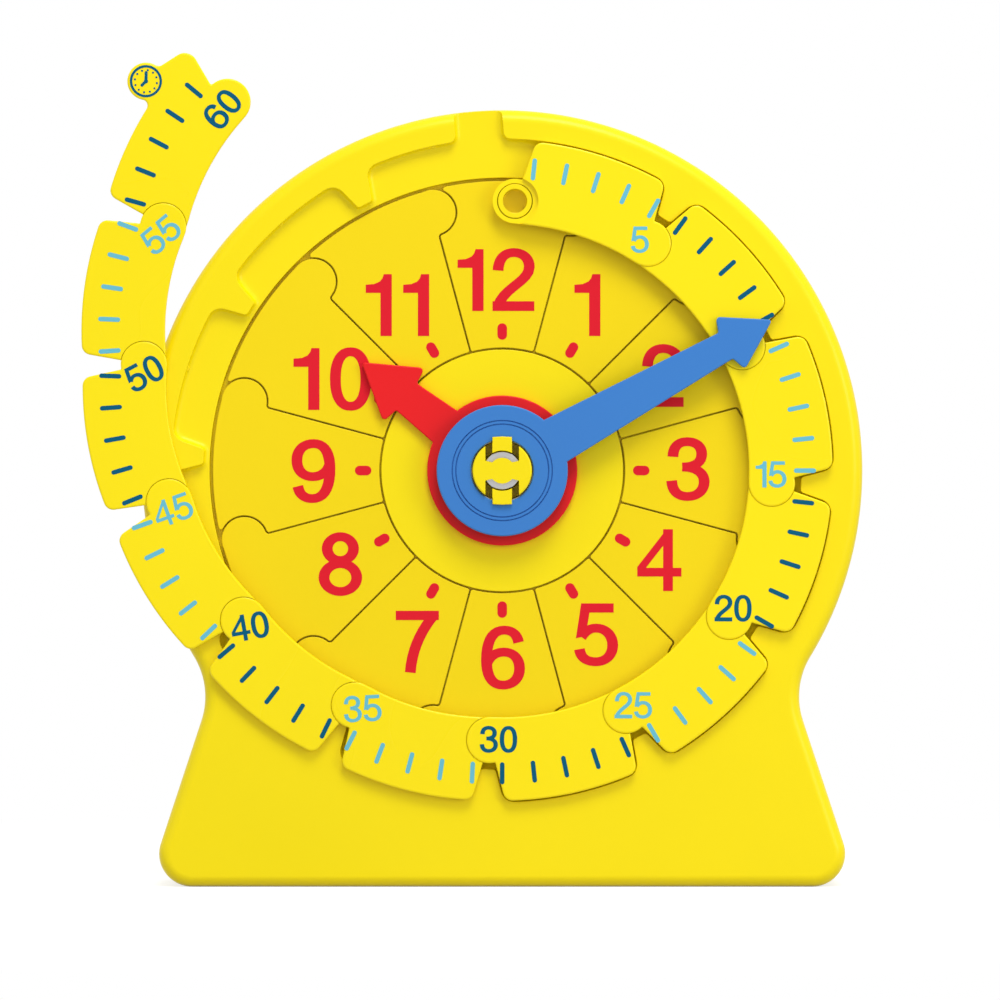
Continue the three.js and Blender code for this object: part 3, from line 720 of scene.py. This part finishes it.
def stroke(points, width):
    """Four-sided faces along a line, thinner where it runs level."""
    left, right = [], []
    for i, point in enumerate(points):
        before = Vector(points[max(i - 1, 0)])
        after = Vector(points[min(i + 1, len(points) - 1)])
        along = (after - before).normalized()
        half = width * (1 - 0.18 * abs(along.x) ** 2) / 2
        across = Vector((-along.y, along.x)) * half
        left.append(tuple(Vector(point) + across))
        right.append(tuple(Vector(point) - across))
    return [[left[i], left[i + 1], right[i + 1], right[i]] for i in range(len(points) - 1)]


def ring(x, y, wide, high, width, power=2.0):
    """An oval band, thinner above and below, squarer with a higher power."""
    outer, hole = [], []
    for k in range(49):
        turn = 2 * math.pi * k / 48
        cos, sin = math.cos(turn), math.sin(turn)
        px = math.copysign(abs(cos) ** (2 / power), cos)
        py = math.copysign(abs(sin) ** (2 / power), sin)
        outer.append((x + wide * px, y + high * py))
        hole.append((x + (wide - width) * px, y + (high - 0.82 * width) * py))
    return [[outer[k], outer[k + 1], hole[k + 1], hole[k]] for k in range(48)]


def digit(sign, w):
    """Faces of a digit with that stroke width."""
    if sign == "0":
        return ring(0.3335, 0.5, 0.3335, 0.512, w, 2.3)
    if sign == "1":
        low, left = 0.829 - 0.75 * w, 0.42 - 1.04 * w
        return [[(0, low), (left, low), (left, 0), (0.42, 0), (0.42, 1),
                 (0.291, 1), (0.268, 0.93), (0.225, 0.88), (0.135, 0.84), (0, 0.829)]]
    if sign == "2":
        line = path((0.095, 0.655), ((0.1, 0.83), (0.19, 0.945), (0.345, 0.945)),
                    ((0.50, 0.945), (0.60, 0.85), (0.60, 0.715)),
                    ((0.60, 0.47), (0.17, 0.38), (0.088, 0.06)))
        return stroke(line, w) + [box_face(0.005, 0, 0.68, 0.9 * w)]
    if sign == "3":
        upper = path((0.10, 0.70), ((0.10, 0.86), (0.19, 0.945), (0.33, 0.945)),
                     ((0.47, 0.945), (0.565, 0.87), (0.565, 0.745)),
                     ((0.565, 0.61), (0.46, 0.535), (0.25, 0.535)))
        lower = path((0.25, 0.535), ((0.49, 0.535), (0.605, 0.43), (0.605, 0.30)),
                     ((0.605, 0.15), (0.49, 0.058), (0.335, 0.058)),
                     ((0.18, 0.058), (0.085, 0.15), (0.08, 0.315)))
        return stroke(upper, w) + stroke(lower, w)
    if sign == "4":
        slant = [(0, 0.25), (0, 0.39), (0.475, 1), (0.55, 1), (0.475 + 0.537 * w, 1 - 0.418 * w),
                 (0.537 * w, 0.39 - 0.418 * w), (0.05, 0.25)]
        return [box_face(0, 0.235, 0.714, 0.235 + 0.8 * w), box_face(0.576 - 0.9 * w, 0, 0.576, 1), slant]
    if sign == "5":
        bowl = path((0.11, 0.455), ((0.17, 0.55), (0.25, 0.6), (0.345, 0.6)),
                    ((0.505, 0.6), (0.615, 0.48), (0.615, 0.325)),
                    ((0.615, 0.165), (0.505, 0.055), (0.34, 0.055)),
                    ((0.19, 0.055), (0.09, 0.13), (0.078, 0.26)))
        stem = [(0.02, 0.435), (0.105, 1), (0.105 + 0.9 * w, 1), (0.03 + 0.85 * w, 0.47)]
        return stroke(bowl, w) + [stem, box_face(0.13, 1 - 0.85 * w, 0.63, 1)]
    if sign in "69":
        line = path((0.60, 0.745), ((0.575, 0.88), (0.49, 0.945), (0.365, 0.945)),
                    ((0.17, 0.945), (0.08, 0.76), (0.08, 0.46)),
                    ((0.08, 0.20), (0.17, 0.055), (0.345, 0.055)),
                    ((0.51, 0.055), (0.615, 0.165), (0.615, 0.325)),
                    ((0.615, 0.485), (0.515, 0.59), (0.36, 0.59)),
                    ((0.21, 0.59), (0.1, 0.49), (0.08, 0.37)))
        faces = stroke(line, w)
        if sign == "9":
            faces = [[(0.695 - x, 1 - y) for x, y in face] for face in faces]
        return faces
    if sign == "7":
        line = path((0.62, 0.93), ((0.42, 0.70), (0.26, 0.38), (0.235, 0)))
        return stroke(line, w) + [box_face(0, 1 - 0.86 * w, 0.697, 1)]
    # What is left is an eight
    return ring(0.357, 0.748, 0.30, 0.265, w) + ring(0.357, 0.28, 0.352, 0.298, w)


def text(signs, height, gap, weight, spot, clock=0):
    """Faces of figures centred on a spot and turned clockwise."""
    faces, edge = [], 0
    for sign in signs:
        own = digit(sign, weight)
        low = min(x for face in own for x, _ in face)
        high = max(x for face in own for x, _ in face)
        faces += [[(x - low + edge, y) for x, y in face] for face in own]
        edge += high - low + gap
    middle = (edge - gap) / 2
    sized = [[((x - middle) * height, (y - 0.5) * height) for x, y in face] for face in faces]
    return [turned_by(face, clock, (0, 0), spot) for face in sized]


def bar(spot, clock, length, width):
    """A radial mark with round ends."""
    half = (length - width) / 2
    ends = arc((0, half), width / 2, -90, 90, 18) + arc((0, -half), width / 2, 90, 270, 18)
    return turned_by(ends, clock, (0, 0), spot)


def printed(name, shapes, front, material, body):
    """A thin print of overlapping faces on a flat front."""
    points, faces = [], []
    for shape in shapes:
        faces.append(list(range(len(points), len(points) + len(shape))))
        points += [Vector(point) for point in wound(shape, True)]
    found = delaunay_2d_cdt(points, [], faces, 1, 1e-4)
    inside = [list(face) for face, of in zip(found[2], found[5]) if of]
    used = {vert: i for i, vert in enumerate(sorted({vert for face in inside for vert in face}))}
    flat = [found[0][vert] for vert in used]
    verts = [(point.x, depth, point.y) for depth in (front - PRINT, front + PRINT) for point in flat]
    size = len(used)
    tops = [[used[vert] for vert in face] for face in inside]
    sides = {(face[i], face[(i + 1) % len(face)]) for face in tops for i in range(len(face))}
    walls = [(a, a + size, b + size, b) for a, b in sides if (b, a) not in sides]
    bottoms = [[vert + size for vert in face[::-1]] for face in tops]
    obj = made(name, verts, tops + sorted(walls) + bottoms)
    return finished(obj, material, body)


# Hour pieces

def hour_outline():
    """The piece at twelve: its lobe after it, and the bite for the lobe before it."""
    half = SEAM / 2
    seam = PITCH / 2
    turn = math.degrees(half / PIECE_INNER)
    points = arc((0, 0), PIECE_INNER, -seam + turn, seam - turn, 2)
    own = polar(LOBE_REACH, seam)
    radius = LOBE - half
    lean = math.degrees(math.asin(half / radius))
    points += arc(own, radius, seam + 180 + lean, seam, 5)
    points += arc((0, 0), DIAL, seam - LOBE_LIP, -seam + BITE_LIP, 1)
    bite = polar(LOBE_REACH, -seam)
    radius = LOBE + half
    lean = math.degrees(math.asin(half / radius))
    points += arc(bite, radius, BITE_END - seam, 180 - seam - lean, 5)
    return softened(points, PIECE_CORNERS, 22)


# Middle of each numeral, and the gap between the two figures of a long one
numerals = {
    12: (-2.2, 69.3), 11: (-38.1, 60.2), 10: (-61.8, 33.3), 9: (-68.7, -0.2), 8: (-58.9, -34.0),
    7: (-30.9, -62.3), 6: (0.3, -68.1), 5: (34.2, -59.6), 4: (57.2, -32.6), 3: (67.6, 0.5),
    2: (58.5, 34.4), 1: (31.0, 60.2),
}
numeral_gaps = {10: 0.17, 11: 0.185, 12: 0.145}
post_hole = circle(HOLE, polar(HINGE, HINGE_CLOCK), 10)
hour_plan = hour_outline()
for hour in range(1, HOURS + 1):
    node = f"hour_piece_{hour:02d}"
    body = "lifted_hour_piece" if hour == 9 else "clock_body"
    loops = [turned_by(hour_plan, PITCH * hour)] + ([post_hole] if hour == HOURS else [])
    profile = plate(dial_face, piece_back, PIECE_EDGE, PIECE_BACK_EDGE, 3)
    piece = block(f"dial_piece_{hour:02d}", loops, profile)
    finished(shaded(piece), dial_yellow, body, node, slot="dial_yellow")
    gap = numeral_gaps.get(hour, 0)
    shapes = text(str(hour), NUMERAL_HEIGHT, gap, NUMERAL_WEIGHT, numerals[hour])
    shapes.append(bar(polar(DASH_REACH, PITCH * hour), PITCH * hour, DASH_LENGTH, DASH_WIDTH))
    printed(f"dial_print_{hour:02d}", shapes, dial_face, numeral_red, body)


# Number line, drawn at its place after twelve o'clock and then moved with its tail's hinge

pin_clock = HINGE_CLOCK + PITCH
tail_spot = polar(HINGE, HINGE_CLOCK)
pin_spot = polar(HINGE, pin_clock)
badge_spot = polar(BADGE_REACH, BADGE_CLOCK)


def link_outline(is_last):
    """Round the tail, out along its side, along the outer edge, back round the knuckle and inward."""
    start = HINGE_CLOCK + side_clock(LINK_OUTER)
    end = pin_clock - side_clock(LINK_OUTER)
    points = arc(tail_spot, TAIL, HINGE_CLOCK + 180, HINGE_CLOCK + SIDE + 360, 6)
    radii = [TAIL_BEND, LINK_CORNER]
    if is_last:
        far, near = LINK_OUTER + BADGE_BEND, BADGE + BADGE_BEND
        share = (BADGE_REACH**2 + far**2 - near**2) / (2 * BADGE_REACH * far)
        left = BADGE_CLOCK - math.degrees(math.acos(share))
        hub = polar(far, left)
        points += arc((0, 0), LINK_OUTER, start, left, 1)[:-1]
        points += arc(hub, BADGE_BEND, left + 180, heading(hub, badge_spot), 12)
        points += arc(badge_spot, BADGE, heading(badge_spot, hub), BADGE_END + 360, 5)[1:]
        points += arc(polar(*TIP_SPOT), TIP, TIP_START, TIP_END, 8)
        knuckle_start = heading(pin_spot, polar(*NECK_SPOT))
        radii += [BADGE_CORNER, NECK_BEND]
    else:
        points += arc((0, 0), LINK_OUTER, start, end, 1)
        knuckle_start = pin_clock - SIDE
        radii += [LINK_CORNER, KNUCKLE_BEND]
    points += arc(pin_spot, KNUCKLE, knuckle_start, pin_clock + 180, 6)
    points += arc((0, 0), LINK_INNER, pin_clock - 3, HINGE_CLOCK + 3, 1)
    return softened(points, radii, 24)


def link(name, is_last):
    profile = plate(link_front, link_back, LINK_EDGE, LINK_BACK_EDGE, 6, LINK_EDGE_DROP)
    shape = block(name, [link_outline(is_last)], profile)
    room = KNUCKLE + ROOM_GAP
    knuckle_room = rod("tool", room, link_front - 1, lap_back, tail_spot)
    tail_room = rod("tool", room, lap_front, link_back + 1, pin_spot)
    hole = rod("tool", HOLE, lap_front - 1, link_back + 1, tail_spot, 72)
    middle = (link_front + lap_front) / 2
    pin = rod("tool", PEG if is_last else PIN, middle, link_back, pin_spot, 60)
    cuts = [(tool, "DIFFERENCE") for tool in (knuckle_room, tail_room, hole)]
    carved(shape, *cuts, (pin, "UNION"))
    return shaded(shape)


turn = 0
common = link("line_link_shape", False)
for i in range(HOURS):
    minutes = 5 * (i + 1)
    joint = joints[f"line_hinge_{minutes:02d}"]
    turn += (PITCH if i else 0) + joint["range_deg"][0]
    spot = Vector(joint["pos_m"]) - centre
    spot = (spot.x / MM, spot.z / MM)
    body = joint["child"]
    is_last = i == HOURS - 1
    node = f"link_{minutes:02d}"
    if is_last:
        shape = link("line_link_60_shape", True)
    else:
        shape = common.copy()
        shape.data = common.data.copy()
        shape.name = f"line_{node}_shape"
        bpy.context.scene.collection.objects.link(shape)
    home = centre + Vector((tail_spot[0], 0, tail_spot[1])) * MM
    goal = centre + Vector((spot[0], 0, spot[1])) * MM
    shape.data.transform(Matrix.Translation(goal) @ Matrix.Rotation(math.radians(turn), 4, "Y")
                         @ Matrix.Translation(-home))
    finished(shape, line_yellow, body, node, slot="line_yellow")
    marks = [MARK_PITCH * k for k in range(1, 6)]
    shapes = [bar(polar(MARK_REACH, clock), clock, MARK_LENGTH, MARK_WIDTH) for clock in marks]
    weight = LABEL_WEIGHTS[i % 2]
    shapes += text(str(minutes), LABEL_HEIGHT, LABEL_GAP, weight, polar(*LABEL_SPOT), -PITCH * i)
    if is_last:
        outer, hole = (circle(radius, badge_spot, 7.5) for radius in FACE_RING)
        shapes += [[outer[k - 1], outer[k], hole[k], hole[k - 1]] for k in range(len(outer))]
        for k in range(HOURS):
            shapes.append(circle(FACE_DOT, polar(FACE_DOT_REACH, PITCH * k, badge_spot), 45))
        shapes.append(circle(FACE_HUB, badge_spot, 30))
        for clock, length in FACE_HANDS:
            middle = polar(length / 2, clock, badge_spot)
            shapes.append(bar(middle, clock, length, FACE_HAND_WIDTH))
    shapes = [turned_by(face, turn, tail_spot, spot) for face in shapes]
    printed(f"line_print_{minutes:02d}", shapes, link_front, dark_ink if i % 2 else light_ink, body)
bpy.data.objects.remove(common)

socket_floor = lap_back + SOCKET_DEPTH
foot_back = piece_back + LINE_POST_FOOT_DEPTH
line_post = lathed("line_post_shape", [
    (0, socket_floor, 0), (SOCKET, socket_floor, 0.4), (SOCKET, lap_back, 0.25), (PIN, lap_back, 0.3),
    (PIN, piece_back, 0), (LINE_POST_FOOT, piece_back, 0),
    (LINE_POST_FOOT, foot_back, 0.4), (0, foot_back, 0),
], tail_spot, 72)
finished(shaded(line_post), casing_yellow, "clock_body", "number_line_post", slot="casing_yellow")


# Hands

def arrow_outline(hub, widths, head, length):
    """Half widths and heights of shaft, barb and tip, mirrored."""
    root = math.sqrt((hub - 1) ** 2 - (widths[0] / 2) ** 2)
    notch, barb, half = head
    right = [(widths[0] / 2, root, 0), (widths[1] / 2, notch, 0.8), (half, barb, 1.3), (0, length, 0.9)]
    left = [(-x, y, r) for x, y, r in right[-2::-1]]
    return eased(right + left)


arrow = turned_by(arrow_outline(HOUR_HUB, HOUR_SHAFT, HOUR_HEAD, HOUR_REACH), HOUR_CLOCK)
shaft = block("hour_hand_shape", [arrow], plate(hour_front, hour_back, HAND_EDGE, HAND_BACK_EDGE))
hub = lathed("tool", [
    (BORE, hour_front, 0.3), (HOUR_HUB, hour_front, HAND_EDGE),
    (HOUR_HUB, hour_back, HAND_BACK_EDGE), (BORE, hour_back, 0),
])
carved(shaft, (rod("tool", HOUR_HUB - 1, hour_front - 1, hour_back + 1), "DIFFERENCE"), (hub, "UNION"))
finished(shaded(shaft), hand_red, "hour_hand_and_wheel", "hour_hand", slot="hand_red")

blade_back = link_front - BLADE_GAP
arrow = turned_by(arrow_outline(MINUTE_HUB, MINUTE_SHAFT, MINUTE_HEAD, MINUTE_REACH), MINUTE_CLOCK)
shaft = block("minute_hand_shape", [arrow], plate(minute_front, blade_back, HAND_EDGE, HAND_BACK_EDGE))
hub_profile = [(MINUTE_BORE, minute_front, 0.4)]
groove_floor = minute_front + GROOVE_DEPTH
for start in GROOVES:
    end = start + GROOVE_WIDTH
    hub_profile += [(start, minute_front, 0), (start + 0.15, groove_floor, 0)]
    hub_profile += [(end - 0.15, groove_floor, 0), (end, minute_front, 0)]
hub_profile += [
    (MINUTE_HUB, minute_front, 0.6), (MINUTE_HUB, minute_back, HAND_BACK_EDGE),
    (MINUTE_PIPE, minute_back, 0), (MINUTE_PIPE, blade_back, 0), (MINUTE_BORE, blade_back, 0),
]
hub = lathed("tool", hub_profile)
carved(shaft, (rod("tool", MINUTE_HUB - 1, minute_front - 1, blade_back + 1), "DIFFERENCE"), (hub, "UNION"))
finished(shaded(shaft), hand_blue, "minute_hand_and_pinion", "minute_hand", slot="hand_blue")

# Hand post with its web, its two tabs and the sleeve behind them
web_back = post_front + POST_WEB
bore = SLEEVE + SLEEVE_GAP
flange_front = post_back - POST_FLANGE_DEPTH
post = lathed("hand_post_shape", [
    (0, post_front, 0), (POST, post_front, 0.7), (POST, flange_front, 0), (POST_FLANGE, flange_front, 0.3),
    (POST_FLANGE, post_back, 0.3), (bore, post_back, 0), (bore, web_back, 0), (0, web_back, 0),
])
slot_side = TAB + TAB_SLOT
window_top = bore + 0.2
tools = []
for turn in (0, 180):
    window = softened([
        *arc((0, 0), WINDOW, 50, -50, 8), (-slot_side, 3.6), (-slot_side, window_top), (-TAB, window_top),
        *arc((0, 0), bore, -29, 29, 6), (TAB, window_top), (slot_side, window_top), (slot_side, 3.6),
    ], 0.15, 30)
    cutter = block("tool", [turned_by(window, turn)], [(0, post_front - 1), (0, web_back + 1)])
    tools.append((cutter, "DIFFERENCE"))
    for side in (-1, 1):
        slot_plan = turned_by(box_face(side * TAB, TAB_SLOT_START, side * slot_side, TAB_REACH), turn)
        cutter = block("tool", [slot_plan], [(0, post_front - 1), (0, post_front + TAB_SLOT_DEPTH)])
        tools.append((cutter, "DIFFERENCE"))
for turn in (0, 180):
    shoulder = TAB_REACH - 0.2
    lip = [(-TAB, POST - 1.5), (TAB, POST - 1.5), (TAB, shoulder), (0, TAB_REACH), (-TAB, shoulder)]
    profile = plate(post_front, post_front + TAB_LIP_DEPTH, 0.4, 0.15, 4)
    tools.append((block("tool", [turned_by(lip, turn)], profile), "UNION"))
carved(post, *tools)
finished(shaded(post), casing_yellow, "clock_body", "hand_post", slot="casing_yellow")

sleeve_front, sleeve_back = depths("post_sleeve")
sleeve = lathed("post_sleeve_shape", [
    (SLEEVE_BORE, sleeve_front, 0.2), (SLEEVE, sleeve_front, 0.3),
    (SLEEVE, sleeve_back, 0.2), (SLEEVE_BORE, sleeve_back, 0.2),
], sides=72)
finished(shaded(sleeve), steel, "clock_body", "post_sleeve", slot="steel")

# Floor, light and camera: lengths in metres but for the camera's aim, powers in watts

FLOOR_REACH = 30
FLOOR_TINT = (0.42, 0.42, 0.43, 1)
FLOOR_GLOW = 0.72
FLOOR_BOUNCE = (0.5, 0.5, 0.5, 1)
SHADOW_REACH = (0.2, 0.45)
WHITE = (1, 1, 1, 1)
WORLD_LIGHT = 0.78
AIM = (0, -0.03, 0.15)
KEY = {"spot": (0.25, -1.2, 1.9), "size": 1.0, "power": 24}
FILL = {"spot": (1.1, -1.0, 0.4), "size": 0.6, "power": 4}
CAMERA_AIM = (-0.8, -30, 140.9)
CAMERA_RISE = 0.5
CAMERA_DISTANCE = 2.5
LENS = 247.6


def clear_sight(nodes, links):
    """One where the floor or the world is seen directly, in a gloss or through glass, and else zero."""
    ray = nodes.new("ShaderNodeLightPath")
    total = ray.outputs["Is Camera Ray"]
    for kind in ("Is Glossy Ray", "Is Transmission Ray"):
        step = nodes.new("ShaderNodeMath")
        step.operation = "MAXIMUM"
        links.new(total, step.inputs[0])
        links.new(ray.outputs[kind], step.inputs[1])
        total = step.outputs[0]
    return total


floor_mesh = bpy.data.meshes.new("floor")
floor_corners = box_face(-FLOOR_REACH, -FLOOR_REACH, FLOOR_REACH, FLOOR_REACH)
floor_mesh.from_pydata([(x, y, 0) for x, y in floor_corners], [], [(0, 1, 2, 3)])
floor = bpy.data.objects.new("floor", floor_mesh)
bpy.context.scene.collection.objects.link(floor)

# Seen directly the floor is white but for its shadow, and further out wholly white. To the rest of the
# light it is plain grey.
ground = bpy.data.materials.new("floor")
ground.use_nodes = True
nodes, links = ground.node_tree.nodes, ground.node_tree.links
nodes.clear()
out = nodes.new("ShaderNodeOutputMaterial")
matt = nodes.new("ShaderNodeBsdfDiffuse")
matt.inputs["Color"].default_value = FLOOR_TINT
bright = nodes.new("ShaderNodeEmission")
bright.inputs["Color"].default_value = WHITE
bright.inputs["Strength"].default_value = FLOOR_GLOW
both = nodes.new("ShaderNodeAddShader")
plain = nodes.new("ShaderNodeBsdfDiffuse")
plain.inputs["Color"].default_value = FLOOR_BOUNCE
pick = nodes.new("ShaderNodeMixShader")
place = nodes.new("ShaderNodeTexCoord")
length = nodes.new("ShaderNodeVectorMath")
length.operation = "LENGTH"
fade = nodes.new("ShaderNodeMapRange")
fade.inputs["From Min"].default_value = SHADOW_REACH[0]
fade.inputs["From Max"].default_value = SHADOW_REACH[1]
far = nodes.new("ShaderNodeEmission")
far.inputs["Color"].default_value = WHITE
far.inputs["Strength"].default_value = 1.0
shown = nodes.new("ShaderNodeMixShader")
links.new(place.outputs["Object"], length.inputs[0])
links.new(length.outputs["Value"], fade.inputs["Value"])
links.new(fade.outputs["Result"], shown.inputs[0])
links.new(matt.outputs[0], both.inputs[0])
links.new(bright.outputs[0], both.inputs[1])
links.new(both.outputs[0], shown.inputs[1])
links.new(far.outputs[0], shown.inputs[2])
links.new(clear_sight(nodes, links), pick.inputs[0])
links.new(plain.outputs[0], pick.inputs[1])
links.new(shown.outputs[0], pick.inputs[2])
links.new(pick.outputs[0], out.inputs["Surface"])
floor_mesh.materials.append(ground)

world = bpy.data.worlds.new("studio")
bpy.context.scene.world = world
world.use_nodes = True
nodes, links = world.node_tree.nodes, world.node_tree.links
back = nodes["Background"]
back.inputs["Color"].default_value = WHITE
back.inputs["Strength"].default_value = WORLD_LIGHT
white = nodes.new("ShaderNodeBackground")
white.inputs["Color"].default_value = WHITE
white.inputs["Strength"].default_value = 1.0
pick = nodes.new("ShaderNodeMixShader")
links.new(clear_sight(nodes, links), pick.inputs[0])
links.new(back.outputs[0], pick.inputs[1])
links.new(white.outputs[0], pick.inputs[2])
links.new(pick.outputs[0], nodes["World Output"].inputs["Surface"])


def lamp(name, spot, size, power):
    data = bpy.data.lights.new(name, "AREA")
    data.shape = "DISK"
    data.size = size
    data.energy = power
    obj = bpy.data.objects.new(name, data)
    obj.location = spot
    obj.rotation_euler = (Vector(AIM) - Vector(spot)).to_track_quat("-Z", "Y").to_euler()
    bpy.context.scene.collection.objects.link(obj)


lamp("key", **KEY)
lamp("fill", **FILL)

# The camera looks level but for half a degree, from straight in front
sight = Vector(CAMERA_AIM) * MM
elevation = math.radians(CAMERA_RISE)
camera_data = bpy.data.cameras.new("camera")
camera = bpy.data.objects.new("camera", camera_data)
bpy.context.scene.collection.objects.link(camera)
away = Vector((0, -math.cos(elevation), math.sin(elevation)))
camera.location = sight + away * CAMERA_DISTANCE
camera.rotation_euler = (-away).to_track_quat("-Z", "Y").to_euler()
camera_data.sensor_width = 36
camera_data.lens = LENS
camera_data.clip_start = 0.1
camera_data.clip_end = 100
bpy.context.scene.camera = camera
bpy.context.scene.view_settings.view_transform = "Standard"
